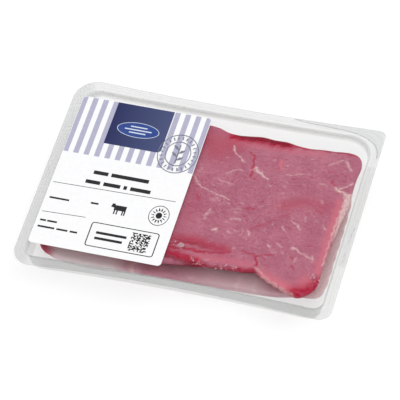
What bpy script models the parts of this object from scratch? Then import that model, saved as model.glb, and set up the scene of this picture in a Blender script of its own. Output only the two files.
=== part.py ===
"""Meat tray pack: two raw beef steaks in a clear deep-drawn tray, under a clear lid film with a paper label.

Metres, +Z up. The origin is under the middle of the pack, on the surface it stands on. +X runs along
the pack, from the labelled end to the end with the peel corner, and +Y runs away from the front edge.
"""

import math

import bmesh
import bpy
import numpy as np
from mathutils import Vector

# Pack, measured at its corners, where it is widest
PACK_LENGTH = 0.242
PACK_WIDTH = 0.190
FLANGE_TOP = 0.0230
FLANGE_END = 0.0068
FLANGE_SIDE = 0.0085
WALL = 0.0006
DRAFT = math.radians(10)
FLOOR_ROUND = 0.009
MOUTH_ROUND = 0.0018
GAP = 0.0003

# How far the taut film pulls in the middle of the long sides: front and back, of the flange and of the mouth
FLANGE_BOWS = (0.0047, 0.0027)
MOUTH_BOWS = (0.0024, 0.0015)
CORNER_REACH = 0.010

# Corner radii, in the order front left, front right, back right, back left
FLANGE_CORNERS = (0.0150, 0.0100, 0.0055, 0.0200)
MOUTH_CORNERS = (0.0065, 0.0075, 0.0190, 0.0140)

# Lid film and label
FILM = 0.0003
LABEL = 0.0003
LABEL_WIDTH = 0.1018
LABEL_HEIGHT = 0.1509
LABEL_CORNER = 0.003
LABEL_LEFT = -0.113
LABEL_FRONT = -0.0742

# Steaks
STEAK_SEAM = 0.0116
STEAK_TOP = 0.0226
STEAK_FLOOR = WALL + GAP
SEAM_GAP = 0.0004
SEAM_WAVE = 0.0005
TOP_WAVE = 0.0007
FAT_RIM = 0.0004
FAT_RIM_PLACE = (0.107, 0.005, 0.003, 0.026)

# Outline points of the steaks in millimetres, anticlockwise from the front left
UPPER_OUTLINE = (
    (-97, -52), (-88, -63), (-50, -68), (-9, -66.5), (23, -62.5), (47, -61.2), (56, -59.6), (61, -62.8),
    (75.5, -70.3), (90.5, -76), (99.5, -71.5), (104.5, -62), (104.5, -47), (105.8, -20), (107.5, 0),
    (109.5, 17), (109, 29), (109, 44), (110, 56), (108.5, 64), (104.5, 68.5), (97, 70), (87, 68.8),
    (78, 68.4), (68.5, 67.4), (59, 68.2), (49.5, 70), (40, 69.8), (30.5, 70.7), (21.5, 69.5), (12.5, 68.4),
    (3.5, 69.3), (-11, 73), (-60, 74), (-92, 69), (-99, 52), (-100, 0),
)
LOWER_OUTLINE = (
    (-108.3, -48), (-107.6, -62), (-104, -67), (-99.5, -69.3), (-93.3, -71.8), (-81, -74), (-62, -74.8),
    (-41, -73), (-8, -71.6), (25, -70.8), (58, -70.2), (76, -68.8), (90, -65.5), (101, -64),
    (107.2, -60.5), (109.3, -50),
    (109.4, -20), (109.3, 5), (108.5, 30),
    (104, 50), (92, 60), (50, 63), (0, 60), (-50, 63), (-92, 58), (-104, 42), (-107.8, -10),
)

# Edge of a slice from its underside to its face: inset in millimetres and share of the thickness
UPPER_EDGE = (
    (7.5, 0.0), (4.6, 0.15), (2.4, 0.35), (0.9, 0.58), (0.0, 0.82), (0.5, 0.93), (1.8, 1.0),
)
LOWER_EDGE = (
    (8.0, 0.0), (4.9, 0.08), (2.8, 0.22), (1.3, 0.42), (0.4, 0.65), (0.0, 0.84), (0.6, 0.95), (2.0, 1.0),
)
FACE_RINGS = (0.82, 0.62, 0.42, 0.22)

RING_POINTS = 128
CORNER_STEPS = 9
SIDE_STEPS = 10
MILLIMETRE = 0.001


def add_material(name, colour, roughness, alpha=1.0):
    """A Principled material, see-through where alpha is under 1."""
    material = bpy.data.materials.new(name)
    material.use_nodes = True
    shader = material.node_tree.nodes["Principled BSDF"]
    shader.inputs["Base Color"].default_value = (*colour, 1.0)
    shader.inputs["Roughness"].default_value = roughness
    shader.inputs["Metallic"].default_value = 0.0
    shader.inputs["Alpha"].default_value = alpha
    material.diffuse_color = (*colour, alpha)
    return material


def add_object(name, data, material, collection):
    """A new object in the collection, with its one material."""
    data.materials.append(material)
    piece = bpy.data.objects.new(name, data)
    collection.objects.link(piece)
    return piece


def rounded_rectangle(length, width, radii):
    """Ring round a rectangle with its own radius at each corner, anticlockwise from the front left.

    Each corner is an arc of CORNER_STEPS steps and each side has SIDE_STEPS steps, so that two rings
    of unlike size have matching points.
    """
    signs = ((-1, -1), (1, -1), (1, 1), (-1, 1))
    arcs = []
    for index, ((side_x, side_y), radius) in enumerate(zip(signs, radii)):
        centre = (side_x * (length / 2 - radius), side_y * (width / 2 - radius))
        start = math.pi + index * math.pi / 2
        turns = [start + step / CORNER_STEPS * math.pi / 2 for step in range(CORNER_STEPS + 1)]
        arcs.append([(centre[0] + radius * math.cos(t), centre[1] + radius * math.sin(t)) for t in turns])
    ring = []
    for arc, following in zip(arcs, arcs[1:] + arcs[:1]):
        ring.extend(arc)
        for step in range(1, SIDE_STEPS):
            share = step / SIDE_STEPS
            ring.append(tuple(a + (b - a) * share for a, b in zip(arc[-1], following[0])))
    return ring


def loft(name, rings, cap_first, cap_last):
    """Mesh through rings with the same number of points; a capped end closes in a fan on its middle."""
    shell = bmesh.new()
    rows = [[shell.verts.new(point) for point in ring] for ring in rings]
    count = len(rows[0])
    for low, high in zip(rows, rows[1:]):
        for index in range(count):
            after = (index + 1) % count
            shell.faces.new((low[index], low[after], high[after], high[index]))
    for row, wanted, forward in ((rows[0], cap_first, False), (rows[-1], cap_last, True)):
        if not wanted:
            continue
        middle = shell.verts.new(sum((vert.co for vert in row), Vector()) / count)
        for index in range(count):
            pair = (row[index], row[(index + 1) % count])
            shell.faces.new((*pair, middle) if forward else (pair[1], pair[0], middle))
    bmesh.ops.recalc_face_normals(shell, faces=shell.faces)
    mesh = bpy.data.meshes.new(name)
    shell.to_mesh(mesh)
    shell.free()
    mesh.shade_smooth()
    mesh.set_sharp_from_angle(angle=math.radians(40))
    return mesh


def tray_profile():
    """Pairs of inset from the mouth and height, from the flange's inner edge down to the flat floor.

    The mouth turns down on a small round, the wall leans in by the draft, and a wide round joins the floor.
    The insets and heights are those of the inner surface.
    """
    lean = math.pi / 2 - DRAFT
    pairs = []
    for step in range(1, 4):
        turn = lean * step / 3
        pairs.append((MOUTH_ROUND * math.sin(turn), FLANGE_TOP - MOUTH_ROUND * (1 - math.cos(turn))))
    wall_inset, wall_top = pairs[-1]
    round_depth = FLOOR_ROUND * (1 - math.sin(DRAFT))
    wall_bottom = WALL + round_depth
    wall_inset += (wall_top - wall_bottom) * math.tan(DRAFT)
    for step in range(0, 7):
        turn = lean * step / 6
        across = FLOOR_ROUND * (math.cos(DRAFT) - math.cos(DRAFT + turn))
        down = FLOOR_ROUND * (math.sin(DRAFT + turn) - math.sin(DRAFT))
        pairs.append((wall_inset + across, wall_bottom - down))
    return pairs


def bowed(ring, bows):
    """The ring with its long sides pulled in, most at their middle, by the front and the back bow.

    The pull falls off with the square of the way to the corners, where it ends, and grows evenly
    from the middle line out.
    """
    end = max(x for x, y in ring) - CORNER_REACH
    side = max(y for x, y in ring)
    pulled = []
    for x, y in ring:
        bow = bows[0] if y < 0 else bows[1]
        pulled.append((x, y - bow * max(0.0, 1 - (x / end) ** 2) * y / side))
    return pulled


def flange_outline():
    """Outer edge of the flange, which the film shares."""
    return bowed(rounded_rectangle(PACK_LENGTH, PACK_WIDTH, FLANGE_CORNERS), FLANGE_BOWS)


def mouth_outline(inset):
    """Inner surface of the cavity, a given way in from its mouth."""
    length = PACK_LENGTH - 2 * (FLANGE_END + inset)
    width = PACK_WIDTH - 2 * (FLANGE_SIDE + inset)
    return bowed(rounded_rectangle(length, width, MOUTH_CORNERS), MOUTH_BOWS)


def add_tray(collection, material):
    """Clear tray: a level flange and a cavity with leaning walls, one skin with its thickness outwards."""
    outlines = [(flange_outline(), FLANGE_TOP), (mouth_outline(0.0), FLANGE_TOP)]
    outlines += [(mouth_outline(inset), height) for inset, height in tray_profile()]
    rings = [[(x, y, height) for x, y in ring] for ring, height in outlines]
    tray = add_object("tray", loft("tray", rings, False, True), material, collection)
    wall = tray.modifiers.new("wall", "SOLIDIFY")
    wall.thickness = WALL
    wall.offset = -1.0
    wall.use_even_offset = True
    return tray


def add_sheet(name, outline, thickness, underside, collection, material):
    """Flat sheet of the given outline and thickness, with its underside at a height."""
    curve = bpy.data.curves.new(name, "CURVE")
    curve.dimensions = "2D"
    curve.fill_mode = "BOTH"
    curve.extrude = thickness / 2
    spline = curve.splines.new("POLY")
    spline.points.add(len(outline) - 1)
    for point, (x, y) in zip(spline.points, outline):
        point.co = (x, y, 0.0, 1.0)
    spline.use_cyclic_u = True
    sheet = add_object(name, curve, material, collection)
    sheet.location.z = underside + thickness / 2
    return sheet


def smooth_ring(corners, count):
    """Closed smooth line through the corner points, cut into equal steps.

    Each span is a Catmull-Rom curve: a cubic through its two ends whose slopes there run parallel to
    the line between the neighbours.
    """
    knots = np.array(corners, float) * MILLIMETRE
    before, after, beyond = (np.roll(knots, -shift, axis=0) for shift in (-1, 1, 2))
    share = np.linspace(0.0, 1.0, 24, endpoint=False)[None, :, None]
    line = 0.5 * (
        2 * knots[:, None]
        + (after - before)[:, None] * share
        + (2 * before - 5 * knots + 4 * after - beyond)[:, None] * share**2
        + (3 * knots - before - 3 * after + beyond)[:, None] * share**3
    ).reshape(-1, 2)
    closed = np.vstack((line, line[:1]))
    travelled = np.concatenate(([0.0], np.cumsum(np.linalg.norm(np.diff(closed, axis=0), axis=1))))
    stops = np.linspace(0.0, travelled[-1], count, endpoint=False)
    return np.stack([np.interp(stops, travelled, closed[:, axis]) for axis in (0, 1)], axis=1)


def inward(ring):
    """Unit directions pointing into an anticlockwise ring, one at each point."""
    along = np.roll(ring, -2, axis=0) - np.roll(ring, 2, axis=0)
    across = np.stack((-along[:, 1], along[:, 0]), axis=1)
    return across / np.linalg.norm(across, axis=1, keepdims=True)


def seam_height(x, y):
    """Height of the seam between the two steaks, a slow wave."""
    return STEAK_SEAM + SEAM_WAVE * np.sin(38 * x + 0.6) * np.cos(45 * y - 0.4)


def top_height(x, y):
    """Height of the upper steak's face: a slow wave, a finer one and a raised rim of fat at the right."""
    slow = 0.6 * np.sin(31 * x + 1.1) * np.cos(37 * y + 0.5)
    fine = 0.4 * np.sin(95 * x - 70 * y) * np.cos(60 * x + 88 * y + 1.0)
    rim_x, rim_y, rim_half_width, rim_half_length = FAT_RIM_PLACE
    rim = np.exp(-(((x - rim_x) / rim_half_width) ** 2) - ((y - rim_y) / rim_half_length) ** 4)
    return STEAK_TOP - TOP_WAVE * (1 - slow - fine) * 0.5 + FAT_RIM * (rim - 1)


def steak_rings(corners, edge, underside, topside):
    """Rings of a steak from the middle of its underside out, up its rounded edge and in over its face.

    Inside the edge, a ring is the edge's last one drawn in towards the middle.
    """
    outline = smooth_ring(corners, RING_POINTS)
    into = inward(outline)
    middle = outline.mean(axis=0)
    edge_rings = [outline + into * inset * MILLIMETRE for inset, share in edge]
    low_rings = [(middle + (edge_rings[0] - middle) * shrink, 0.0) for shrink in reversed(FACE_RINGS)]
    high_rings = [(middle + (edge_rings[-1] - middle) * shrink, 1.0) for shrink in FACE_RINGS]
    levels = low_rings + [(ring, share) for ring, (inset, share) in zip(edge_rings, edge)] + high_rings
    rings = []
    for ring, share in levels:
        x, y = ring.T
        low = underside(x, y)
        height = low + (topside(x, y) - low) * share
        rings.append([tuple(point) for point in np.stack((x, y, height), axis=1)])
    return rings


def level(height):
    """A flat surface, as a function of place."""
    return lambda x, y: np.full_like(x, height)


def add_steaks(collection, material):
    """Two slices that lie on each other: the lower on the tray's floor, the upper under the film."""
    lower = steak_rings(LOWER_OUTLINE, LOWER_EDGE, level(STEAK_FLOOR), seam_height)
    upper = steak_rings(UPPER_OUTLINE, UPPER_EDGE, lambda x, y: seam_height(x, y) + SEAM_GAP, top_height)
    add_object("steak_lower", loft("steak_lower", lower, True, True), material, collection)
    add_object("steak_upper", loft("steak_upper", upper, True, True), material, collection)


def main():
    for leftover in list(bpy.data.objects):
        bpy.data.objects.remove(leftover, do_unlink=True)
    pack = bpy.data.collections.new("meat_tray_pack")
    bpy.context.scene.collection.children.link(pack)

    clear_plastic = add_material("clear_plastic", (0.86, 0.88, 0.87), 0.12, alpha=0.35)
    clear_film = add_material("clear_film", (0.90, 0.91, 0.90), 0.08, alpha=0.15)
    label_paper = add_material("label_paper", (0.90, 0.90, 0.91), 0.45)
    raw_beef = add_material("raw_beef", (0.42, 0.09, 0.15), 0.38)

    add_tray(pack, clear_plastic)
    add_steaks(pack, raw_beef)
    film_underside = FLANGE_TOP + GAP
    add_sheet("lid_film", flange_outline(), FILM, film_underside, pack, clear_film)
    label_outline = [
        (x + LABEL_LEFT + LABEL_WIDTH / 2, y + LABEL_FRONT + LABEL_HEIGHT / 2)
        for x, y in rounded_rectangle(LABEL_WIDTH, LABEL_HEIGHT, [LABEL_CORNER] * 4)
    ]
    add_sheet("label", label_outline, LABEL, film_underside + FILM + GAP, pack, label_paper)


main()
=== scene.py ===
"""Meat tray pack: two raw steaks in a clear tray under a clear film with a paper label, on a pale floor.

Metres, +Z up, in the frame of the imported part. The print is made of plain fields, bars and rings.
"""

import math

import bpy
import numpy as np
from mathutils import Matrix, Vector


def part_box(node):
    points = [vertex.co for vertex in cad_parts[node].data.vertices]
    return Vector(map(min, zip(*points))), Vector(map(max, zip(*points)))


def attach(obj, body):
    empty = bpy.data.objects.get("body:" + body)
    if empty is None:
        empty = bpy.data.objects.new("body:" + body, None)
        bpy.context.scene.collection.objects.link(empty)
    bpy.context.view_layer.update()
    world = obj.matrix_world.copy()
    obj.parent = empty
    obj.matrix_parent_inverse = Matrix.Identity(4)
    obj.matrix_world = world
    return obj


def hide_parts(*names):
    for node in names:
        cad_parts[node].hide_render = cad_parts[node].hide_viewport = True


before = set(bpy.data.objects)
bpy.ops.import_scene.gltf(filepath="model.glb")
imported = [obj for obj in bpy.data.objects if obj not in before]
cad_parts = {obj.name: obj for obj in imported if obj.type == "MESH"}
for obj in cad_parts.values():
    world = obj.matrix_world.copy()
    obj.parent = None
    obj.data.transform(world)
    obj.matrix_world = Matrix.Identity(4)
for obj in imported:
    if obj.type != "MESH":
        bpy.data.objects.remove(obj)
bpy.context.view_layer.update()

MILLIMETRE = 0.001

# Pack, as in the part
TRAY_LOW, TRAY_HIGH = (np.array(corner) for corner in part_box("tray"))
PACK_LENGTH, PACK_WIDTH = (TRAY_HIGH - TRAY_LOW)[:2]
FLANGE_TOP = TRAY_HIGH[2]
FILM_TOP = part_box("lid_film")[1][2]
FLANGE_END = 0.0068
FLANGE_SIDE = 0.0085
DRAFT = math.radians(10)
FLOOR_ROUND = 0.009
MOUTH_ROUND = 0.0018
FLANGE_BOWS = (0.0047, 0.0027)
MOUTH_BOWS = (0.0024, 0.0015)
CORNER_REACH = 0.010
FLANGE_CORNERS = (0.0150, 0.0100, 0.0055, 0.0200)
MOUTH_CORNERS = (0.0065, 0.0075, 0.0190, 0.0140)

# Thickness of the clear skins, sag of the film, and the flange's two grooves, placed as shares of the way
# from its edge to the mouth
SKIN = 0.0004
FILM_SKIN = 0.0001
FILM_SAG = 0.00015
GROOVES = (0.30, 0.62)
GROOVE_DEPTH = 0.00015

# How dense the tray's plastic looks, from 0 to 1: the flange's own, denser lines at the grooves, rim and
# mouth's bend that are painted reflections, a denser left end and left wall that are painted shade, and where
# that left end starts to look darker
FLANGE_DENSE = 0.24
GROOVE_PAINTED_REFLECTION = 0.10
LEFT_PAINTED_SHADE = 0.34
RIM_PAINTED_REFLECTION = 0.90
MOUTH_PAINTED_REFLECTION = 0.75
LEFT_WALL_PAINTED_SHADE = 0.30
LEFT_SHADE_START = -0.108
LEFT_SHADE_FADE = 0.006

# Label, as in the part, and the thickness of a layer of ink and of the gap under it
LABEL_LOW, LABEL_HIGH = (np.array(corner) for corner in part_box("label"))
LABEL_CORNER = 0.003
INK = 0.00002
INK_GAP = 0.00002

# Steaks, as in the part: the outlines in millimetres, the edges as insets in millimetres and shares of height
STEAK_SEAM = 0.0116
STEAK_TOP = 0.0226
STEAK_FLOOR = 0.0009
SEAM_GAP = 0.0004
SEAM_WAVE = 0.0005
TOP_WAVE = 0.0007
FAT_RIM = 0.0004
FAT_RIM_PLACE = (0.107, 0.005, 0.003, 0.026)
UPPER_OUTLINE = (
    (-97, -52), (-88, -63), (-50, -68), (-9, -66.5), (23, -62.5), (47, -61.2), (56, -59.6), (61, -62.8),
    (75.5, -70.3), (90.5, -76), (99.5, -71.5), (104.5, -62), (104.5, -47), (105.8, -20), (107.5, 0),
    (109.5, 17), (109, 29), (109, 44), (110, 56), (108.5, 64), (104.5, 68.5), (97, 70), (87, 68.8),
    (78, 68.4), (68.5, 67.4), (59, 68.2), (49.5, 70), (40, 69.8), (30.5, 70.7), (21.5, 69.5), (12.5, 68.4),
    (3.5, 69.3), (-11, 73), (-60, 74), (-92, 69), (-99, 52), (-100, 0),
)
LOWER_OUTLINE = (
    (-108.3, -48), (-107.6, -62), (-104, -67), (-99.5, -69.3), (-93.3, -71.8), (-81, -74), (-62, -74.8),
    (-41, -73), (-8, -71.6), (25, -70.8), (58, -70.2), (76, -68.8), (90, -65.5), (101, -64),
    (107.2, -60.5), (109.3, -50),
    (109.4, -20), (109.3, 5), (108.5, 30),
    (104, 50), (92, 60), (50, 63), (0, 60), (-50, 63), (-92, 58), (-104, 42), (-107.8, -10),
)
UPPER_EDGE = ((7.5, 0.0), (4.6, 0.15), (2.4, 0.35), (0.9, 0.58), (0.0, 0.82), (0.5, 0.93), (1.8, 1.0))
LOWER_EDGE = (
    (8.0, 0.0), (4.9, 0.08), (2.8, 0.22), (1.3, 0.42), (0.4, 0.65), (0.0, 0.84), (0.6, 0.95), (2.0, 1.0),
)

# Marks on the upper steak: points in millimetres, half width in millimetres and strength
FAT_VEINS = (
    (((11, 56.5), (13, 51), (18, 46), (22.7, 42)), 0.65, 0.80),
    (((33, 37.5), (36, 34.5), (39, 32.5)), 1.3, 1.00),
    (((39, 32.5), (44, 28.5)), 0.9, 0.95),
    (((-10.8, 20), (-5, 12), (3, 8), (9.8, 6), (21, 3)), 0.75, 0.65),
    (((9.8, 6), (14, -1)), 0.55, 0.50),
    (((-5.8, 28), (-9.7, 22.6)), 0.6, 0.50),
    (((13, 27), (17, 32.5), (24, 33)), 0.5, 0.60),
    (((8, 20.5), (12, 18.6), (21, 18)), 0.5, 0.50),
    (((57, 36.4), (63, 38), (68.7, 39.8)), 0.55, 0.60),
    (((10.5, -10), (8.5, -16), (8, -20)), 0.6, 0.70),
    (((16.5, -29.5), (19.5, -28.5)), 1.2, 0.85),
    (((27, -28), (31, -29)), 0.6, 0.50),
    (((42, -24), (44, -28)), 0.8, 0.65),
    (((77, -10), (79.5, -13)), 0.9, 0.70),
    (((66.5, -14), (69, -17)), 0.5, 0.65),
    (((60, -33), (63, -36)), 0.6, 0.60),
    (((66.5, -31), (70, -33)), 0.8, 0.50),
    (((83, -40), (83.6, -45)), 0.5, 0.70),
    (((94, -37), (96, -42)), 0.7, 0.65),
    (((95, -6), (98, -9)), 0.6, 0.50),
    (((80, -1), (82, -5)), 0.5, 0.55),
    (((71, -3), (71.5, -7)), 0.5, 0.50),
    (((86, 53), (92, 58), (97, 62)), 0.6, 0.50),
    (((70, 55), (72, 56)), 0.5, 0.60),
    (((27.7, -15.2), (34, -15)), 0.6, 0.85),
    (((79, -32), (85, -35.4), (96, -39.7)), 0.7, 0.65),
    (((78.6, -32), (80.5, -33)), 1.1, 0.90),
    (((98, 60), (100.5, 56), (103, 52)), 0.9, 0.70),
    (((96, 31.5), (101, 33.5), (108, 39)), 0.7, 0.80),
    (((95.5, 32), (99, 30), (105, 27.5)), 1.2, 1.00),
    (((104.5, 27), (105.5, 18), (104.5, 4), (104, -14)), 0.9, 0.80),
    (((104, -14), (103.6, -26), (103.8, -44)), 0.5, 0.75),
    (((57, -57), (66, -65), (78, -71), (90, -76)), 0.9, 0.60),
)
BLOOD_MARKS = (
    (((8, 65), (13, 65), (22, 65.5), (31, 66.5), (40, 65.5), (52, 66)), 4.2, 1.00),
    (((52, 67), (60, 66), (70, 65.5)), 1.2, 0.80),
    (((78, 66.5), (97, 68), (104, 66.5)), 0.9, 0.60),
    (((-8, -43), (6, -42), (18, -45), (30, -46)), 5.2, 0.62),
    (((-12, -50), (2, -46), (14, -44)), 1.2, 0.85),
    (((-12, -53), (4, -51), (16, -52)), 1.6, 0.80),
    (((-14, -57), (0, -59), (14, -62)), 3.6, 1.00),
    (((10, -64), (28, -63.5), (46, -61.5), (56, -60)), 1.9, 0.90),
    (((54, -46), (56, -52), (57, -61)), 0.8, 0.95),
    (((7, -52.6), (20, -51), (35, -47.6)), 0.7, 0.95),
    (((25, 52.5), (29, 48.6), (30.5, 39.6), (31.3, 29)), 0.9, 0.75),
    (((89, -74), (98, -70), (105, -61)), 5.6, 1.00),
    (((92, 38), (95, 34), (99, 28)), 1.0, 0.60),
    (((44, -22), (56, -12), (68, 0)), 1.6, 0.28),
    (((62, 6), (78, 14), (92, 12)), 6.0, 0.34),
    (((87, 8), (92, 5)), 0.9, 0.60),
    (((36, -3), (41, -2)), 1.1, 0.60),
    (((-3.5, 2), (-1, -3)), 1.2, 0.60),
    (((43, -44), (54, -46), (66, -42)), 0.8, 0.60),
    (((-10, 58), (0, 50), (8, 60)), 14.0, 0.42),
    (((-12, 10), (-6, -10), (-12, -30)), 12.0, 0.16),
)
# Paler pink along the steak's edges: partly the meat's paler cut edges, partly a painted highlight
PALE_AND_HIGHLIGHT_MARKS = (
    (((12, -57), (34, -56), (52, -55)), 4.0, 0.50),
    (((60, -62), (76, -68), (90, -72)), 4.5, 1.00),
    (((102, -50), (102, -20), (102, 20)), 3.4, 0.75),
    (((8, 60), (31, 60), (56, 61), (80, 64)), 3.0, 0.40),
    (((96, -60), (94, -66)), 6.0, 0.80),
    (((49.6, 50), (51.4, 41)), 1.4, 1.00),
)
# Painted shade: a darker red along the steak's back and front edges
PAINTED_SHADE_MARKS = (
    (((12, 67), (22, 66.5), (31, 67.5), (40, 67), (52, 67)), 2.2, 0.85),
    (((70, 66.5), (86, 67.5), (98, 69)), 0.9, 0.45),
    (((-12, -61), (0, -63), (14, -64.5), (30, -64.5)), 2.0, 0.70),
    (((-6, -45), (6, -45), (16, -47)), 1.6, 0.35),
)

# Streaks of fat along the front of the lower steak, in the same terms
BAND_STREAKS = (
    (((-84, -66), (-84, -80)), 6.0, 0.60),
    (((-34, -66), (-34, -80)), 2.2, 0.80),
    (((-29, -66), (-30, -80)), 0.9, 0.50),
    (((46, -60), (44, -80)), 1.0, 0.60),
    (((58, -60), (57, -80)), 1.4, 0.45),
    (((12, -68), (9, -70)), 0.5, 0.60),
    (((72, -64), (74, -66)), 0.9, 0.80),
)

# Painted reflection of the plastic over the front of the lower steak, as x in millimetres and strength
BAND_REFLECTION = (
    (-104, 0.0), (-98, 0.15), (-93, 0.85), (-70, 1.0), (-50, 0.95), (-38, 0.30), (-20, 0.12), (0, 0.20),
    (25, 0.50), (60, 0.60), (76, 0.40),
)

# Middle that the steaks' rings close on, in metres, and their counts of points, edge rings and face rings
FACE_CENTRE = (0.040, -0.002)
UPPER_COUNTS = (880, 16, 84)
LOWER_COUNTS = (400, 16, 30)

# Fat at the right of the upper steak: the start of that end in metres, then in millimetres the middle and
# half length of its side, and its inner edge as y and x
RIGHT_END = 0.095
FAT_SIDE = (7.0, 21.0)
FAT_EDGE = ((-22, 106), (-14, 105), (4, 104.6), (18, 104.2), (27, 104.5), (32, 110))

# Counts and seeds of the small flecks of fat and of the red hairlines
FAT_FLECKS = (90, 7)
HAIRLINES = (80, 9)

# Bubbles in millimetres: the middles of the clusters, how many each has, and the round one with its radius
BUBBLE_SPOTS = ((99.5, -57), (104, -61), (9.6, -61.7), (17, -63), (27, -64), (34, -64), (42, -62), (-5, -50))
BUBBLES_EACH = 9
BUBBLE_SEED = 11
ROUND_BUBBLE = (-2.0, -49.6, 2.6)

# Marks on the flange in millimetres: the seal's edge at the peel corner, the knurl, and the pressed dashes
# as x, y and length
SEAL_EDGE = (
    (50, 91.4), (68, 90.2), (82.7, 89.0), (91.3, 88.7), (100.3, 87.7), (107.3, 85.5), (112.5, 82.7),
    (115.8, 76.7), (119.2, 67.1),
)
SEAL_WIDTH = 0.8
SEAL_HEIGHT = 0.15
SEAL_PROFILE = ((1.0, 0.0), (0.5, 0.8), (0.0, 1.0), (-0.5, 0.8), (-1.0, 0.0))
KNURL_X = (114.9, 120.2)
KNURL_Y = (-42, 58)
KNURL_PITCH = 1.25
KNURL_RADIUS = 0.42
KNURL_HEIGHT = 0.14
DASHES = (
    (118.7, -7.5, 3.0), (118.1, -13.5, 3.4), (117.8, -19.5, 3.0), (117.7, -33.0, 3.0), (118.0, -38.5, 2.6),
)
DASH_HALF_WIDTH = 0.4
DASH_SLANT = 0.3

# Heights of the flange's marks above the film and of their plates, in metres
MARK_LIFT = 0.00002
CORNER_SKIN = 0.00004
DASH_HEIGHT = 0.00012

# Print in millimetres on the label, from its lower left corner. The panel is left, low and right, the
# oval's bars are low and half width, and the leaves are low and the side they lean to
PRINT_MARGIN = 0.4
PRINT_TALL = 1.27
STRIPES = 13
STRIPES_LOW = 93
STRIPE_ROUND = 2.6
PANEL = (28.1, 107.4, 72.6)
PANEL_ROUND = 4.0
OVAL_MIDDLE = (50.2, 125.8)
OVAL_REACH = (16.5, 7.6)
OVAL_LINE = 0.5
OVAL_BARS = ((128.2, 6.5), (125.2, 10.5), (122.2, 6.5))
STAMP_MIDDLE = (85.8, 109.8)
STAMP_RADII = (15.5, 9.8)
STAMP_LEAVES = ((103, 1), (106.5, -1), (110, 1), (113.5, -1))
SUN_MIDDLE = (88, 47)
SUN_RADIUS = 7.8
SUN_HEART = (2.4, 3.0)

# Rows of bars: left, right, low, height, and the words' shares of the row
BAR_ROWS = (
    (29.0, 71.9, 75.6, 3.6, (0.28, 0.72)),
    (25.4, 75.8, 65.7, 3.6, (0.26, 0.30, 0.06, 0.36)),
    (3.6, 18.8, 44.9, 1.7, (1.0,)),
    (35.2, 41.2, 46.6, 1.7, (1.0,)),
    (3.0, 16.0, 22.0, 1.7, (0.3, 0.5)),
    (2.9, 33.4, 15.7, 1.7, (0.45, 0.3, 0.2)),
    (47.0, 70.4, 19.2, 2.4, (1.0,)),
    (47.1, 68.3, 13.8, 2.4, (1.0,)),
)
WORD_GAP = 0.06
RULES = (
    ((2, 60.8), (96.6, 62.9), (96.6, 63.4), (2, 61.3)),
    ((2.1, 31.0), (35.4, 32.4), (35.4, 32.9), (2.1, 31.5)),
)
BOX_MIDDLE = (67.65, 18.15)
BOX_OUTER = (52.3, 23.7, 2.4)
BOX_INNER = (50.7, 22.1, 1.6)
CODE_LOW = np.array((73.6, 9.0))
CODE_HIGH = np.array((87.9, 26.8))
CODE_CELLS = 17
CODE_SHARE = 0.52
CODE_SEED = 5
CATTLE_BODY = (53.6, 44.6, 62.8, 49.6)
CATTLE_HEAD = ((50.9, 47.4), (53.8, 46.8), (53.8, 50.8), (51.6, 50.8))
CATTLE_LEGS = (54.0, 56.0, 60.2, 61.8)

# Camera: focal length and picture width in pixels, sensor in millimetres, turns in degrees, rest in metres
FOCAL_PIXELS = 3500
PICTURE = 400
SENSOR = 36.0
ELEVATION, YAW, ROLL = (math.radians(turn) for turn in (48.9, 16.4, -2.1))
AIM_RIGHT = -0.0007
AIM_UP = 0.0161
DISTANCE = 2.6433


def rounded_rectangle(length, width, radii, corner_steps=14, side_steps=42):
    """Ring round a rectangle with its own radius at each corner, anticlockwise from the front left.

    A corner's points are centre + radius * (cos t, sin t) over a quarter turn, and a side's points are
    evenly spaced between the ends of two corners.
    """
    arcs = []
    for index, (side_x, side_y, radius) in enumerate(zip((-1, 1, 1, -1), (-1, -1, 1, 1), radii)):
        turn = math.pi + index * math.pi / 2 + np.linspace(0, math.pi / 2, corner_steps + 1)
        centre = np.array((side_x * (length / 2 - radius), side_y * (width / 2 - radius)))
        arcs.append(centre + radius * np.stack((np.cos(turn), np.sin(turn)), axis=1))
    share = np.linspace(0, 1, side_steps + 1)[1:-1, None]
    ring = []
    for arc, following in zip(arcs, arcs[1:] + arcs[:1]):
        ring += [arc, arc[-1] + (following[0] - arc[-1]) * share]
    return np.concatenate(ring)


def bowed(ring, bows):
    """The ring with its long sides pulled in by bow * (1 - (x / end)^2) * y / side."""
    x, y = ring.T
    end = x.max() - CORNER_REACH
    bow = np.where(y < 0, bows[0], bows[1])
    pull = bow * np.maximum(0, 1 - (x / end) ** 2) * y / y.max()
    return np.stack((x, y - pull), axis=1)


def flange_outline():
    """Outer edge of the flange and of the film."""
    return bowed(rounded_rectangle(PACK_LENGTH, PACK_WIDTH, FLANGE_CORNERS), FLANGE_BOWS)


def mouth_outline(inset):
    """Inner surface of the cavity, a given way in from its mouth."""
    length = PACK_LENGTH - 2 * (FLANGE_END + inset)
    width = PACK_WIDTH - 2 * (FLANGE_SIDE + inset)
    return bowed(rounded_rectangle(length, width, MOUTH_CORNERS), MOUTH_BOWS)


def unit_circle(count):
    """Ring of points (cos t, sin t) at even turns t from the right, anticlockwise."""
    turns = np.linspace(0, 2 * math.pi, count, endpoint=False)
    return np.stack((np.cos(turns), np.sin(turns)), axis=1)


def lifted(ring, height):
    """Flat ring with a height, one number or one for each point."""
    return np.column_stack((ring, np.broadcast_to(height, len(ring))))


def add_piece(name, points, faces, material, slot, *nodes):
    """A mesh piece that rides on the part and stands for the CAD nodes."""
    mesh = bpy.data.meshes.new(name)
    mesh.from_pydata(points.tolist(), [], faces)
    mesh.validate()
    mesh.shade_smooth()
    mesh.materials.append(material)
    piece = bpy.data.objects.new(name, mesh)
    bpy.context.scene.collection.objects.link(piece)
    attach(piece, "root")
    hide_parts(*nodes)
    return piece


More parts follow.
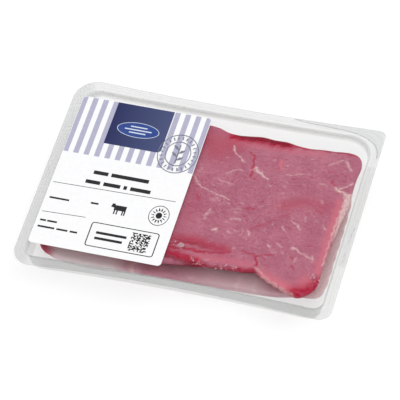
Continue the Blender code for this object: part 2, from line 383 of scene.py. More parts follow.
def ring_surface(rings, cap_first=False, cap_last=False):
    """Points and faces of a surface through rings of equal count; a capped end closes on its middle.

    Face (i, j) joins points j and j + 1 of ring i with those of ring i + 1.
    """
    stack = np.stack(rings)
    levels, count = stack.shape[:2]
    index = np.arange(levels * count).reshape(levels, count)
    after = np.roll(index, -1, axis=1)
    faces = np.stack((index[:-1], after[:-1], after[1:], index[1:]), axis=-1).reshape(-1, 4).tolist()
    points = stack.reshape(-1, 3)
    for wanted, row, turned in ((cap_first, 0, True), (cap_last, -1, False)):
        if wanted:
            middle = np.full(count, len(points))
            edge = (after[row], index[row]) if turned else (index[row], after[row])
            faces += np.stack((*edge, middle), axis=-1).tolist()
            points = np.vstack((points, stack[row].mean(axis=0)))
    return points, faces


def body(outline, low, high):
    """Points and faces of an upright closed body on an anticlockwise outline in millimetres."""
    flat = np.array(outline, float) * MILLIMETRE
    count = len(flat)
    sides = [[i, (i + 1) % count, (i + 1) % count + count, i + count] for i in range(count)]
    points = np.vstack((lifted(flat, low), lifted(flat, high)))
    return points, [list(range(count))[::-1], list(range(count, 2 * count))] + sides


class Bodies:
    """Closed bodies gathered into one piece."""

    def __init__(self):
        self.points, self.faces, self.count = [], [], 0

    def keep(self, points, faces):
        """Adds a closed body."""
        self.faces += [[corner + self.count for corner in face] for face in faces]
        self.points.append(points)
        self.count += len(points)

    def piece(self, name, material, slot, node):
        """Makes the piece."""
        return add_piece(name, np.vstack(self.points), self.faces, material, slot, node)


def solidified(piece, thickness):
    """Gives a one-sided surface its thickness, on its lower side."""
    skin = piece.modifiers.new("skin", "SOLIDIFY")
    skin.thickness = thickness
    skin.offset = -1.0
    skin.use_even_offset = True
    return piece


def node_material(name):
    """A new node material with its tree and its Principled shader."""
    material = bpy.data.materials.new(name)
    material.use_nodes = True
    tree = material.node_tree
    return material, tree, tree.nodes["Principled BSDF"]


def noise(tree, scale, detail=3.0, stretch=None):
    """Noise over the piece's own coordinates, in waves a metre, stretched if asked."""
    place = tree.nodes.new("ShaderNodeTexCoord").outputs["Object"]
    if stretch:
        mapping = tree.nodes.new("ShaderNodeMapping")
        mapping.inputs["Rotation"].default_value = (0, 0, stretch[0])
        mapping.inputs["Scale"].default_value = (stretch[1], 1, 1)
        tree.links.new(place, mapping.inputs["Vector"])
        place = mapping.outputs["Vector"]
    texture = tree.nodes.new("ShaderNodeTexNoise")
    texture.inputs["Scale"].default_value = scale
    texture.inputs["Detail"].default_value = detail
    tree.links.new(place, texture.inputs["Vector"])
    return texture.outputs["Fac"]


def stretched(tree, value, low, high, start=0.0, end=1.0):
    """A value stretched from low..high to start..end."""
    spread = tree.nodes.new("ShaderNodeMapRange")
    spread.inputs["From Min"].default_value = low
    spread.inputs["From Max"].default_value = high
    spread.inputs["To Min"].default_value = start
    spread.inputs["To Max"].default_value = end
    tree.links.new(value, spread.inputs["Value"])
    return spread.outputs["Result"]


def product(tree, first, second):
    """Two values multiplied."""
    times = tree.nodes.new("ShaderNodeMath")
    times.operation = "MULTIPLY"
    tree.links.new(first, times.inputs[0])
    tree.links.new(second, times.inputs[1])
    return times.outputs["Value"]


def blended(tree, first, second, factor, low=0.0, high=1.0):
    """Colour between two, each a colour or a socket, by a number or by a value stretched from low..high."""
    mix = tree.nodes.new("ShaderNodeMix")
    mix.data_type = "RGBA"
    if isinstance(factor, float):
        mix.inputs["Factor"].default_value = factor
    else:
        tree.links.new(stretched(tree, factor, low, high), mix.inputs["Factor"])
    for socket, value in ((mix.inputs[6], first), (mix.inputs[7], second)):
        if isinstance(value, tuple):
            socket.default_value = (*value, 1.0)
        else:
            tree.links.new(value, socket)
    return mix.outputs[2]


def attribute(tree, name):
    """Value stored on the piece's points."""
    node = tree.nodes.new("ShaderNodeAttribute")
    node.attribute_name = name
    return node.outputs["Fac"]


def bumped(tree, shader, height, distance):
    """Fine relief on the shader, of a depth in metres."""
    bump = tree.nodes.new("ShaderNodeBump")
    bump.inputs["Distance"].default_value = distance
    tree.links.new(height, bump.inputs["Height"])
    tree.links.new(bump.outputs["Normal"], shader.inputs["Normal"])


def clear_material(name, first, second, alpha, roughness, scale, relief, edge=None):
    """Clear glossy film: two near colours in a noise, see-through by alpha, with relief in metres.

    With an edge, given as a colour and an alpha, the parts marked on the points are denser.
    """
    material, tree, shader = node_material(name)
    grain = noise(tree, scale)
    colour = blended(tree, first, second, grain, 0.3, 0.7)
    shader.inputs["Alpha"].default_value = alpha
    if edge:
        dense = attribute(tree, "edge")
        colour = blended(tree, colour, edge[0], dense)
        tree.links.new(stretched(tree, dense, 0.0, 1.0, alpha, edge[1]), shader.inputs["Alpha"])
    tree.links.new(colour, shader.inputs["Base Color"])
    shader.inputs["Roughness"].default_value = roughness
    bumped(tree, shader, grain, relief)
    return material


def printed_material(name, first, second, roughness=0.4, across=None):
    """Ink or paper: two near colours in a noise, or from one to the other across the piece's x."""
    material, tree, shader = node_material(name)
    factor = noise(tree, 300)
    low, high = 0.3, 0.7
    if across:
        split = tree.nodes.new("ShaderNodeSeparateXYZ")
        tree.links.new(tree.nodes.new("ShaderNodeTexCoord").outputs["Object"], split.inputs["Vector"])
        factor = split.outputs["X"]
        low, high = across
    tree.links.new(blended(tree, first, second, factor, low, high), shader.inputs["Base Color"])
    shader.inputs["Roughness"].default_value = roughness
    shader.inputs["Specular IOR Level"].default_value = 0.15
    return material


def beef_material():
    """Raw beef: dusky pink mottle, fibres and speckles, then by point a paler pink that is partly painted
    highlight, blood, a darker red that is painted shade, fat, and a painted reflection of the plastic.
    """
    material, tree, shader = node_material("raw_beef")
    mottle = noise(tree, 60)
    grain = noise(tree, 650, 5.0)
    fibres = noise(tree, 520, 4.0, (0.7, 0.3))
    colour = blended(tree, (0.328, 0.087, 0.144), (0.425, 0.146, 0.202), mottle, 0.35, 0.65)
    streaks = blended(tree, (0.270, 0.063, 0.110), (0.485, 0.184, 0.243), fibres, 0.3, 0.7)
    colour = blended(tree, colour, streaks, 0.3)
    speckles = blended(tree, (0.250, 0.044, 0.090), (0.515, 0.196, 0.258), grain, 0.35, 0.65)
    colour = blended(tree, colour, speckles, 0.33)
    # Paler pink, partly the meat's paler edges and partly a painted highlight
    colour = blended(tree, colour, (0.540, 0.135, 0.180), attribute(tree, "pale_and_highlight"))
    soaked = product(tree, attribute(tree, "blood"), stretched(tree, fibres, 0.35, 0.55, 0.72))
    colour = blended(tree, colour, (0.345, 0.005, 0.032), soaked)
    # Painted shade, darker than the blood
    colour = blended(tree, colour, (0.150, 0.002, 0.012), attribute(tree, "painted_shade"))
    broken = product(tree, attribute(tree, "fat"), stretched(tree, grain, 0.35, 0.60, 0.45))
    colour = blended(tree, colour, (0.640, 0.450, 0.440), broken)
    # Pale veil: a painted reflection of the clear wall and film in front of the meat
    colour = blended(tree, colour, (0.640, 0.520, 0.530), attribute(tree, "painted_reflection"))
    tree.links.new(colour, shader.inputs["Base Color"])
    shader.inputs["Roughness"].default_value = 0.5
    shader.inputs["Specular IOR Level"].default_value = 0.06
    bumped(tree, shader, grain, 0.00015)
    return material


def smooth_ring(corners, count):
    """Closed Catmull-Rom line through the corner points, in equal steps."""
    knots = np.array(corners, float) * MILLIMETRE
    before, after, beyond = (np.roll(knots, -shift, axis=0) for shift in (-1, 1, 2))
    share = np.linspace(0.0, 1.0, 24, endpoint=False)[None, :, None]
    line = 0.5 * (
        2 * knots[:, None]
        + (after - before)[:, None] * share
        + (2 * before - 5 * knots + 4 * after - beyond)[:, None] * share**2
        + (3 * knots - before - 3 * after + beyond)[:, None] * share**3
    ).reshape(-1, 2)
    closed = np.vstack((line, line[:1]))
    travelled = np.concatenate(([0.0], np.cumsum(np.linalg.norm(np.diff(closed, axis=0), axis=1))))
    stops = np.linspace(0.0, travelled[-1], count, endpoint=False)
    return np.stack([np.interp(stops, travelled, closed[:, axis]) for axis in (0, 1)], axis=1)


def inward(ring, reach):
    """Unit directions into an anticlockwise ring, from the chord between points reach apart."""
    along = np.roll(ring, -reach, axis=0) - np.roll(ring, reach, axis=0)
    across = np.stack((-along[:, 1], along[:, 0]), axis=1)
    return across / np.linalg.norm(across, axis=1, keepdims=True)


def seam_height(x, y):
    """Seam between the steaks, a slow product of a sine and a cosine."""
    return STEAK_SEAM + SEAM_WAVE * np.sin(38 * x + 0.6) * np.cos(45 * y - 0.4)


def top_height(x, y):
    """Upper face: a slow and a finer product of sines, and exp(-u^2 - v^4) for the rim of fat."""
    slow = 0.6 * np.sin(31 * x + 1.1) * np.cos(37 * y + 0.5)
    fine = 0.4 * np.sin(95 * x - 70 * y) * np.cos(60 * x + 88 * y + 1.0)
    rim_x, rim_y, rim_half_width, rim_half_length = FAT_RIM_PLACE
    rim = np.exp(-(((x - rim_x) / rim_half_width) ** 2) - ((y - rim_y) / rim_half_length) ** 4)
    return STEAK_TOP - TOP_WAVE * (1 - slow - fine) * 0.5 + FAT_RIM * (rim - 1)


def stroke(x, y, points, half_width):
    """exp(-(d / half width)^2), d the distance to a line through the points, on coordinates bent by sines."""
    bent_x = x + 0.0005 * np.sin(820 * y + 300 * x) + 0.0002 * np.sin(2100 * y)
    bent_y = y + 0.0005 * np.sin(760 * x - 350 * y) + 0.0002 * np.sin(1900 * x)
    nearest = np.full(x.shape, np.inf)
    corners = np.array(points, float) * MILLIMETRE
    for start, end in zip(corners[:-1], corners[1:]):
        way = end - start
        share = np.clip(((bent_x - start[0]) * way[0] + (bent_y - start[1]) * way[1]) / (way @ way), 0, 1)
        off = np.hypot(bent_x - start[0] - share * way[0], bent_y - start[1] - share * way[1])
        nearest = np.minimum(nearest, off)
    return np.exp(-((nearest / (half_width * MILLIMETRE)) ** 2))


def strongest(x, y, marks):
    """Largest stroke of a list of marks at each point."""
    level = np.zeros(x.shape)
    for points, half_width, strength in marks:
        level = np.maximum(level, strength * stroke(x, y, points, half_width))
    return level


def ragged(x, y):
    """1 along the tip's front edge up to x = 92 mm, fading to 0 over 4 mm on its left and above it."""
    return np.clip((x - 0.056) / 0.004, 0, 1) * np.clip((-0.054 - y) / 0.004, 0, 1) * (x < 0.092)


def fleck_marks(count, seed):
    """Short seeded strokes over the part of the face that the label leaves open."""
    chance = np.random.default_rng(seed)
    marks = []
    for _ in range(count):
        start = np.array((chance.uniform(5, 100), chance.uniform(-62, 58)))
        turn = chance.uniform(-0.9, 0.9)
        end = start + chance.uniform(0.8, 3.4) * np.array((math.cos(turn), math.sin(turn)))
        marks.append(((tuple(start), tuple(end)), chance.uniform(0.3, 0.65), chance.uniform(0.2, 0.5)))
    return marks


def steak_surface(corners, edge, underside, topside, counts, jag):
    """Rings of a steak from the middle of its underside, up the rounded edge and in over its face.

    The edge's inset and share of the height run straight between the listed pairs. Inside the edge a
    ring is the edge's end drawn in towards the middle. A ring's height is underside + (topside -
    underside) * share. jag(x, y) moves the edge's rings in and out, the more the nearer they are to the
    outline: by 1 / (1 + (inset / 1 mm)^2).
    """
    count, edge_steps, face_steps = counts
    outline = smooth_ring(corners, count)
    into = inward(outline, count // 60)
    shift = jag(*outline.T)[:, None]
    middle = np.array(FACE_CENTRE)
    steps = np.linspace(0, len(edge) - 1, edge_steps)
    insets = np.interp(steps, range(len(edge)), [inset for inset, share in edge]) * MILLIMETRE
    shares = np.interp(steps, range(len(edge)), [share for inset, share in edge])
    levels = [
        (outline + into * (inset + shift / (1 + (inset / MILLIMETRE) ** 2)), share)
        for inset, share in zip(insets, shares)
    ]
    first, last = levels[0][0], levels[-1][0]
    low = [(middle + (first - middle) * shrink, 0.0) for shrink in np.linspace(0.1, 0.92, 8)]
    shrinks = np.linspace(1, 0.01, face_steps + 1)[1:]
    high = [(middle + (last - middle) * shrink, 1.0) for shrink in shrinks]
    rings, all_shares = [], []
    for ring, share in low + levels + high:
        x, y = ring.T
        bottom = underside(x, y)
        rings.append(np.column_stack((ring, bottom + (topside(x, y) - bottom) * share)))
        all_shares.append(np.full(count, share))
    return rings, np.concatenate(all_shares)


def store(piece, name, values):
    """Keeps one number from 0 to 1 for each point, and 0 on the caps' middles at the end."""
    data = piece.data.attributes.new(name, "FLOAT", "POINT").data
    padded = np.zeros(len(data))
    padded[: len(values)] = np.clip(values, 0, 1)
    data.foreach_set("value", padded)


def add_tray(material):
    """Clear tray: flange with two fine grooves, round mouth, leaning wall, round foot and flat floor.

    A groove's depth goes as exp(-(d / 0.05)^2), d the share of the flange's width from its middle line.
    The mouth and the foot are arcs from level to the wall's lean, and the wall runs straight between them.
    The points keep how dense the plastic is drawn: the rim, the grooves and the mouth's bend are denser as
    painted reflections, and the left end and its wall are denser as painted shade.
    """
    outer, inner = flange_outline(), mouth_outline(0.0)
    # Share of the left end, whose denser, darker plastic is painted shade
    left = np.clip((LEFT_SHADE_START - outer[:, 0]) / LEFT_SHADE_FADE, 0, 1)
    rings, edges = [], []
    for share in np.linspace(0, 1, 25):
        groove = max(math.exp(-(((share - place) / 0.05) ** 2)) for place in GROOVES)
        rings.append(lifted(outer + (inner - outer) * share, FLANGE_TOP - GROOVE_DEPTH * groove))
        # The grooves and the rim drawn denser as painted reflections
        dense = FLANGE_DENSE + GROOVE_PAINTED_REFLECTION * groove + LEFT_PAINTED_SHADE * left
        edges.append(np.maximum(dense, RIM_PAINTED_REFLECTION - share / 0.06))
    lean = math.pi / 2 - DRAFT
    for turn in np.linspace(0, lean, 7)[1:]:
        inset = MOUTH_ROUND * math.sin(turn)
        height = FLANGE_TOP - MOUTH_ROUND * (1 - math.cos(turn))
        rings.append(lifted(mouth_outline(inset), height))
        # The mouth's bend drawn denser as a painted reflection
        edges.append(np.full(len(outer), MOUTH_PAINTED_REFLECTION))
    foot = SKIN + FLOOR_ROUND * (1 - math.sin(DRAFT))
    run = (height - foot) * math.tan(DRAFT)
    for share in (0.3, 0.6, 0.9):
        rings.append(lifted(mouth_outline(inset + run * share), height + (foot - height) * share))
        # The left wall drawn denser at the left end as painted shade
        edges.append(LEFT_WALL_PAINTED_SHADE * left)
    for turn in np.linspace(0, lean, 10):
        across = FLOOR_ROUND * (math.cos(DRAFT) - math.cos(DRAFT + turn))
        down = FLOOR_ROUND * (math.sin(DRAFT + turn) - math.sin(DRAFT))
        rings.append(lifted(mouth_outline(inset + run + across), foot - down))
        edges.append(np.zeros(len(outer)))
    points, faces = ring_surface(rings, cap_last=True)
    shell = solidified(add_piece("tray_shell", points, faces, material, "clear_plastic", "tray"), SKIN)
    store(shell, "edge", np.concatenate(edges))


def open_line(points, steps):
    """Smooth open line by points: each axis is a polynomial of degree four in the way along, best fitted."""
    corners = np.array(points, float)
    way = np.concatenate(([0.0], np.cumsum(np.linalg.norm(np.diff(corners, axis=0), axis=1))))
    stops = np.linspace(0, way[-1], steps)
    return np.stack([np.polyval(np.polyfit(way, corners[:, axis], 4), stops) for axis in (0, 1)], axis=1)


def add_seal(seal_material, corner_material, knurl_material):
    """Marks of the flange: the seal's edge at the peel corner, the corner beyond it, the knurl and dashes.

    The seal's edge is its profile carried along a smooth line, and the knurl is rows of six-sided knobs.
    """
    base = FILM_TOP + MARK_LIFT
    line = open_line(SEAL_EDGE, 40)
    along = np.gradient(line, axis=0)
    across = np.stack((-along[:, 1], along[:, 0]), axis=1)
    across = across / np.linalg.norm(across, axis=1, keepdims=True) * SEAL_WIDTH / 2
    lines = [
        lifted((line + across * side) * MILLIMETRE, base + rise * SEAL_HEIGHT * MILLIMETRE)
        for side, rise in SEAL_PROFILE
    ]
    points, faces = ring_surface(np.stack(lines, axis=1), True, True)
    add_piece("seal_edge", points, faces, seal_material, "clear_plastic", "tray")

    rim = flange_outline() / MILLIMETRE
    beyond = rim[(rim[:, 0] > line[0][0]) & (rim[:, 1] > line[-1][1])]
    beyond = beyond[np.argsort(beyond[:, 1] - beyond[:, 0])]
    points, faces = body(np.vstack((line, beyond)), base, base + CORNER_SKIN)
    add_piece("peel_corner", points, faces, corner_material, "clear_plastic", "tray").data.shade_flat()

    circle = unit_circle(6) * KNURL_RADIUS
    knurl = Bodies()
    for row, y in enumerate(np.arange(*KNURL_Y, KNURL_PITCH * 0.87)):
        for x in np.arange(*KNURL_X, KNURL_PITCH) + row % 2 * KNURL_PITCH / 2:
            foot = lifted(((x, y) + circle) * MILLIMETRE, base)
            top = lifted(((x, y) + circle * 0.6) * MILLIMETRE, base + KNURL_HEIGHT * 0.8 * MILLIMETRE)
            knurl.keep(*ring_surface([foot, top], True, True))
    for x, y, length in DASHES:
        left, right = x - DASH_HALF_WIDTH, x + DASH_HALF_WIDTH
        far = y + length
        outline = ((left, y), (right, y), (right + DASH_SLANT, far), (left + DASH_SLANT, far))
        knurl.keep(*body(outline, base, base + DASH_HEIGHT))
    knurl.piece("flange_knurl", knurl_material, "clear_plastic", "tray")


def add_film(material):
    """Lid film over the flange, sagging by a quarter of a sine between 12% and 62% of the way in."""
    outer = flange_outline()
    rings = []
    for share in np.linspace(0, 0.98, 24):
        sag = FILM_SAG * math.sin(math.pi / 2 * min(1, max(0, share - 0.12) / 0.5))
        rings.append(lifted(outer * (1 - share), FILM_TOP - sag))
    points, faces = ring_surface(rings, cap_last=True)
    solidified(add_piece("lid_sheet", points, faces, material, "clear_film", "lid_film"), FILM_SKIN)


def upper_underside(x, y):
    """The seam and the gap above it."""
    return seam_height(x, y) + SEAM_GAP


def lower_underside(x, y):
    """Flat, on the tray's floor."""
    return np.full_like(x, STEAK_FLOOR)


def upper_jag(x, y):
    """Two sines along the ragged part of the front edge."""
    return (0.0006 * np.sin(1500 * x + 700 * y) + 0.0003 * np.sin(2400 * x)) * ragged(x, y)


def lower_jag(x, y):
    """A sine all round."""
    return 0.0003 * np.sin(900 * x + 500 * y)


def add_upper_steak(material):
    """The slice that shows, with its marks stored on the points.

    Its fat stands 0.12 mm up and its blood lies 0.35 mm down. The side's fat fades along y by
    exp(-u^4), and the rim's fat starts at a line and is full 1.2 mm beyond it.
    """
    rings, shares = steak_surface(
        UPPER_OUTLINE, UPPER_EDGE, upper_underside, top_height, UPPER_COUNTS, upper_jag
    )
    points, faces = ring_surface(rings, True, True)
    x, y = points[:-2, 0], points[:-2, 1]
    face = shares > 0.9
    fat = strongest(x, y, FAT_VEINS)
    flecks = strongest(x, y, fleck_marks(*FAT_FLECKS))
    hairlines = np.clip(1.7 * strongest(x, y, fleck_marks(*HAIRLINES)), 0, 0.85) * face
    blood = np.maximum(np.clip(1.15 * strongest(x, y, BLOOD_MARKS), 0, 1), hairlines)
    along = (y / MILLIMETRE - FAT_SIDE[0]) / FAT_SIDE[1]
    reach = np.interp(y / MILLIMETRE, *np.transpose(FAT_EDGE)) * MILLIMETRE
    rim = np.clip((x - reach) / 0.0012, 0, 1) * (x > RIGHT_END)
    wall = np.clip((shares - 0.35) / 0.2, 0, 1) * (shares < 0.995)
    side = (x > RIGHT_END) * np.exp(-(along**4)) * wall
    points[:-2, 2] += 0.00012 * fat - 0.00035 * blood * face
    steak = add_piece("steak_top_slice", points, faces, material, "raw_beef", "steak_upper")
    store(steak, "fat", np.maximum.reduce((fat, flecks, side * 0.95, rim)))
    store(steak, "blood", (blood + 0.5 * (shares < 0.7)) * (1 - np.maximum(side, rim)))
    # Paler pink along the edges, partly a painted highlight
    store(steak, "pale_and_highlight", strongest(x, y, PALE_AND_HIGHLIGHT_MARKS))
    # Painted shade along the back and front edges
    store(steak, "painted_shade", strongest(x, y, PAINTED_SHADE_MARKS))


def add_lower_steak(material):
    """The slice below, with fat at the right, streaks and a painted reflection of the plastic along the
    front, and darker red at its left end.
    """
    rings, _ = steak_surface(
        LOWER_OUTLINE, LOWER_EDGE, lower_underside, seam_height, LOWER_COUNTS, lower_jag
    )
    points, faces = ring_surface(rings, True, True)
    x, y = points[:-2, 0], points[:-2, 1]
    steak = add_piece("steak_bottom_slice", points, faces, material, "raw_beef", "steak_lower")
    side = np.clip((x - 0.096) / 0.010, 0, 0.85)
    store(steak, "fat", np.maximum(side, strongest(x, y, BAND_STREAKS) * (y < -0.05)))
    # Darker red at the left end
    store(steak, "blood", 0.95 * np.exp(-(((x + 0.103) / 0.007) ** 2)) * (y < -0.03))
    # Painted reflection of the clear wall and film over the front band and the right side
    glare = np.interp(x / MILLIMETRE, *np.transpose(BAND_REFLECTION))
    store(steak, "painted_reflection", np.maximum(glare * (y < -0.052), side * 0.6))


def add_bubbles(material):
    """Flat balls of juice on the meat in seeded clusters, and one wide bubble."""
    chance = np.random.default_rng(BUBBLE_SEED)
    circle = unit_circle(16)
    spots = [ROUND_BUBBLE]
    for spot in BUBBLE_SPOTS:
        for _ in range(BUBBLES_EACH):
            place = np.array(spot) + chance.normal(0, 2.2, 2)
            spots.append((*place, chance.uniform(0.3, 0.8)))
    bubbles = Bodies()
    for x, y, radius in spots:
        rings = []
        for turn in np.linspace(-math.pi / 2, math.pi / 2, 8)[1:-1]:
            ring = ((x, y) + circle * radius * math.cos(turn)) * MILLIMETRE
            rings.append(lifted(ring, STEAK_TOP + 0.0001 + 0.0003 * math.sin(turn)))
        bubbles.keep(*ring_surface(rings, True, True))
    bubbles.piece("juice_bubbles", material, "raw_beef", "steak_upper")


class Print(Bodies):
    """Closed flat plates of one ink on one level. Places are millimetres on the label."""

    def __init__(self, level):
        super().__init__()
        self.low = LABEL_HIGH[2] + INK_GAP + level * (INK + INK_GAP)
        self.high = self.low + INK

    def plate(self, outline):
        """Plate inside an anticlockwise outline."""
        self.keep(*body(np.array(outline, float) + LABEL_LOW[:2] / MILLIMETRE, self.low, self.high))

    def box(self, left, low, right, high):
        """Upright rectangle."""
        self.plate(((left, low), (right, low), (right, high), (left, high)))

    def band(self, outer, inner):
        """Closed band between two matching rings."""
        outside, inside = (np.array(ring) * MILLIMETRE + LABEL_LOW[:2] for ring in (outer, inner))
        corners = ((inside, self.low), (outside, self.low), (outside, self.high), (inside, self.high))
        rings = [lifted(ring, height) for ring, height in corners]
        self.keep(*ring_surface(rings + rings[:1]))

    def circle(self, middle, radius, width):
        """Ring of ink of a line width, as much taller than wide as the photo shows the print."""
        around = unit_circle(64) * (1, PRINT_TALL)
        self.band(middle + around * radius, middle + around * (radius - width))

    def rays(self, middle, count, start, end, start_half, end_half):
        """Even rays round a middle, each from one distance and half width to another."""
        for turn in np.linspace(0, 2 * math.pi, count, endpoint=False):
            way = np.array((math.cos(turn), math.sin(turn) * PRINT_TALL))
            across = np.array((-way[1], way[0]))
            near, far = way * start, way * end
            begin, tip = across * start_half, across * end_half
            self.plate(middle + np.array((near - begin, far - tip, far + tip, near + begin)))

    def finish(self, name, material):
        """Makes the piece."""
        self.piece(name, material, "label_paper", "label").data.shade_flat()


def bar_row(ink, left, right, low, height, words):
    """Row of plain bars, one where each word of print would be."""
    edges = np.cumsum([0] + [word + WORD_GAP for word in words])
    scale = (right - left) / (edges[-1] - WORD_GAP)
    for start, word in zip(edges, words):
        ink.box(left + start * scale, low, left + (start + word) * scale, low + height)


def add_stripes(wide, tall):
    """Upright stripes at the label's head, the outer two cut round at its corners."""
    stripes = Print(0)
    top = tall - PRINT_MARGIN
    turns = np.linspace(0, math.pi / 2, 7)
    bend = STRIPE_ROUND * (np.stack((np.cos(turns), np.sin(turns)), axis=1) - 1)
    step = wide / (STRIPES - 0.5)
    for index in range(STRIPES):
        left = max(step * index, PRINT_MARGIN)
        right = min(step * index + step / 2, wide - PRINT_MARGIN)
        right_end = bend if index == STRIPES - 1 else np.zeros((1, 2))
        left_end = bend[::-1] * (-1, 1) if index == 0 else np.zeros((1, 2))
        foot = ((left, STRIPES_LOW), (right, STRIPES_LOW))
        stripes.plate(np.vstack((foot, (right, top) + right_end, (left, top) + left_end)))
    lavender = printed_material("ink_lavender", (0.385, 0.380, 0.500), (0.415, 0.410, 0.530))
    stripes.finish("print_stripes", lavender)


def add_panel(tall):
    """Dark panel with one round corner, lighter towards its right by a painted sheen, and the oval plate on
    it with its trim.
    """
    left, low, right = PANEL
    top = tall - PRINT_MARGIN
    panel = Print(1)
    turns = np.linspace(-math.pi / 2, 0, 9)
    bend = np.stack((np.cos(turns), np.sin(turns)), axis=1) * PANEL_ROUND
    corner = (right - PANEL_ROUND, low + PANEL_ROUND) + bend
    panel.plate([(left, low), *corner, (right, top), (left, top)])
    # Dark blue ink that grows lighter across x: a painted sheen
    navy_painted_sheen = printed_material("ink_navy_painted_sheen", (0.015, 0.021, 0.090), (0.062, 0.078, 0.180), 0.35, (-0.085, -0.035))
    panel.finish("print_panel", navy_painted_sheen)

    oval = unit_circle(48)
    edge = OVAL_MIDDLE + oval * OVAL_REACH
    plate = Print(2)
    plate.plate(edge)
    plate.finish("print_oval", printed_material("ink_blue", (0.020, 0.050, 0.22), (0.030, 0.065, 0.26)))

    trim = Print(3)
    trim.band(edge, OVAL_MIDDLE + oval * (np.array(OVAL_REACH) - OVAL_LINE))
    for low, half in OVAL_BARS:
        trim.box(OVAL_MIDDLE[0] - half, low, OVAL_MIDDLE[0] + half, low + 1.2)
    trim.finish("print_trim", printed_material("ink_pale", (0.55, 0.62, 0.75), (0.60, 0.66, 0.78)))


def add_stamp():
    """Round stamp of two rings and rays, with a stem and four leaves."""
    stamp = Print(4)
    for radius in STAMP_RADII:
        stamp.circle(STAMP_MIDDLE, radius, 0.55)
    stamp.rays(STAMP_MIDDLE, 24, 11.4, 13.8, 0.35, 0.35)
    stamp.plate(((85.3, 100), (86.3, 100), (86.2, 119), (85.4, 119)))
    for low, side in STAMP_LEAVES:
        leaf = [
            (STAMP_MIDDLE[0] + side * out, low + rise)
            for out, rise in ((0.0, 0.0), (3.2, 1.2), (5.0, 4.4), (1.8, 3.4))
        ]
        stamp.plate(leaf if side > 0 else leaf[::-1])
    stamp.finish("print_stamp", printed_material("ink_grey", (0.16, 0.17, 0.22), (0.20, 0.21, 0.26)))


def add_bars():
    """Black print: rows of bars, two rules, a box, seeded squares, a cattle mark and a sun mark."""
    ink = Print(0)
    for row in BAR_ROWS:
        bar_row(ink, *row)
    for rule in RULES:
        ink.plate(rule)
    outer, inner = (
        rounded_rectangle(length, width, [radius] * 4, 6, 2) + BOX_MIDDLE
        for length, width, radius in (BOX_OUTER, BOX_INNER)
    )
    ink.band(outer, inner)
    chance = np.random.default_rng(CODE_SEED)
    step = (CODE_HIGH - CODE_LOW) / CODE_CELLS
    for cell in np.argwhere(chance.random((CODE_CELLS, CODE_CELLS)) < CODE_SHARE):
        corner = CODE_LOW + cell * step
        ink.box(*corner, *(corner + step * 0.98))
    ink.box(*CATTLE_BODY)
    ink.plate(CATTLE_HEAD)
    for left in CATTLE_LEGS:
        ink.box(left, 40.6, left + 1.0, 44.8)
    ink.circle(SUN_MIDDLE, SUN_RADIUS, 0.5)
    ink.plate(SUN_MIDDLE + unit_circle(48) * SUN_HEART)
    ink.rays(SUN_MIDDLE, 14, 3.6, 6.0, 0.55, 0.165)
    ink.finish("print_bars", printed_material("ink_black", (0.012, 0.012, 0.014), (0.022, 0.022, 0.024)))


def add_label():
    """Paper label and its print."""
    size = (LABEL_HIGH - LABEL_LOW)[:2]
    outline = rounded_rectangle(*size, [LABEL_CORNER] * 4, 8, 2) + (LABEL_LOW + LABEL_HIGH)[:2] / 2
    rings = [lifted(outline, LABEL_LOW[2]), lifted(outline, LABEL_HIGH[2])]
    points, faces = ring_surface(rings, True, True)
    paper = printed_material("label_white", (0.81, 0.81, 0.82), (0.84, 0.84, 0.85))
    add_piece("label_sheet", points, faces, paper, "label_paper", "label").data.shade_flat()
    wide, tall = size / MILLIMETRE
    add_stripes(wide, tall)
    add_panel(tall)
    add_stamp()
    add_bars()


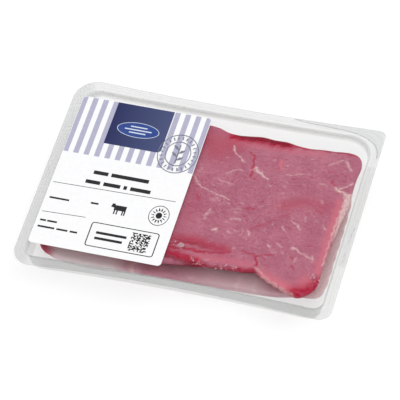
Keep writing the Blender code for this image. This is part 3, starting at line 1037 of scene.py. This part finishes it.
def add_stage():
    """Floor, light and camera."""
    scene = bpy.context.scene
    material, tree, shader = node_material("floor_paint")
    paint = blended(tree, (0.29, 0.29, 0.29), (0.31, 0.31, 0.31), noise(tree, 3))
    tree.links.new(paint, shader.inputs["Base Color"])
    shader.inputs["Emission Color"].default_value = (1.0, 1.0, 1.0, 1.0)
    shader.inputs["Emission Strength"].default_value = 0.70
    shader.inputs["Roughness"].default_value = 0.9
    mesh = bpy.data.meshes.new("floor")
    mesh.from_pydata([(-4, -4, 0), (4, -4, 0), (4, 4, 0), (-4, 4, 0)], [], [(0, 1, 2, 3)])
    mesh.materials.append(material)
    floor = bpy.data.objects.new("floor", mesh)
    floor.location.z = -0.0002
    scene.collection.objects.link(floor)

    world = bpy.data.worlds.new("studio")
    world.use_nodes = True
    world.node_tree.nodes["Background"].inputs["Color"].default_value = (1.0, 1.0, 1.0, 1.0)
    world.node_tree.nodes["Background"].inputs["Strength"].default_value = 1.0
    scene.world = world
    sun = bpy.data.lights.new("key", "SUN")
    sun.energy = 0.85
    sun.angle = math.radians(35)
    key = bpy.data.objects.new("key", sun)
    key.rotation_euler = (math.radians(-38), math.radians(28), 0)
    scene.collection.objects.link(key)

    right = np.array((math.cos(YAW), math.sin(YAW), 0.0))
    ahead = np.array((-math.sin(YAW), math.cos(YAW), 0.0))
    back = -ahead * math.cos(ELEVATION) + np.array((0.0, 0.0, math.sin(ELEVATION)))
    up = np.cross(back, right)
    eye = back * DISTANCE + right * AIM_RIGHT + ahead * AIM_UP
    across = right * math.cos(ROLL) + up * math.sin(ROLL)
    upward = -right * math.sin(ROLL) + up * math.cos(ROLL)
    lens = bpy.data.cameras.new("camera")
    lens.sensor_width = SENSOR
    lens.lens = FOCAL_PIXELS / PICTURE * SENSOR
    lens.clip_end = 20
    camera = bpy.data.objects.new("camera", lens)
    turn = np.eye(4)
    turn[:3, 0], turn[:3, 1], turn[:3, 2], turn[:3, 3] = across, upward, back, eye
    camera.matrix_world = Matrix(turn.tolist())
    scene.collection.objects.link(camera)
    scene.camera = camera
    scene.view_settings.view_transform = "Standard"


# Colour and alpha of the tray's denser parts: the flange's own density, and the painted reflections and
# painted shade marked on its points
TRAY_DENSE_AND_PAINTED_LIGHT = ((0.42, 0.44, 0.43), 0.45)
plastic = clear_material(
    "clear_plastic", (0.36, 0.37, 0.362), (0.40, 0.41, 0.402), 0.085, 0.12, 700, 0.0002, TRAY_DENSE_AND_PAINTED_LIGHT
)
add_tray(plastic)
add_seal(
    clear_material("seal_line", (0.36, 0.38, 0.37), (0.42, 0.44, 0.43), 0.26, 0.15, 700, 0.0001),
    clear_material("unsealed_corner", (0.46, 0.50, 0.48), (0.50, 0.54, 0.52), 0.055, 0.12, 500, 0.0001),
    clear_material("knurl", (0.44, 0.45, 0.45), (0.50, 0.51, 0.51), 0.17, 0.15, 700, 0.0001),
)
add_film(clear_material("clear_film", (0.76, 0.77, 0.77), (0.80, 0.81, 0.81), 0.006, 0.08, 25, 0.0004))
beef = beef_material()
add_upper_steak(beef)
add_lower_steak(beef)
add_bubbles(clear_material("juice", (0.62, 0.40, 0.45), (0.72, 0.54, 0.58), 0.30, 0.05, 400, 0.0001))
add_label()
add_stage()
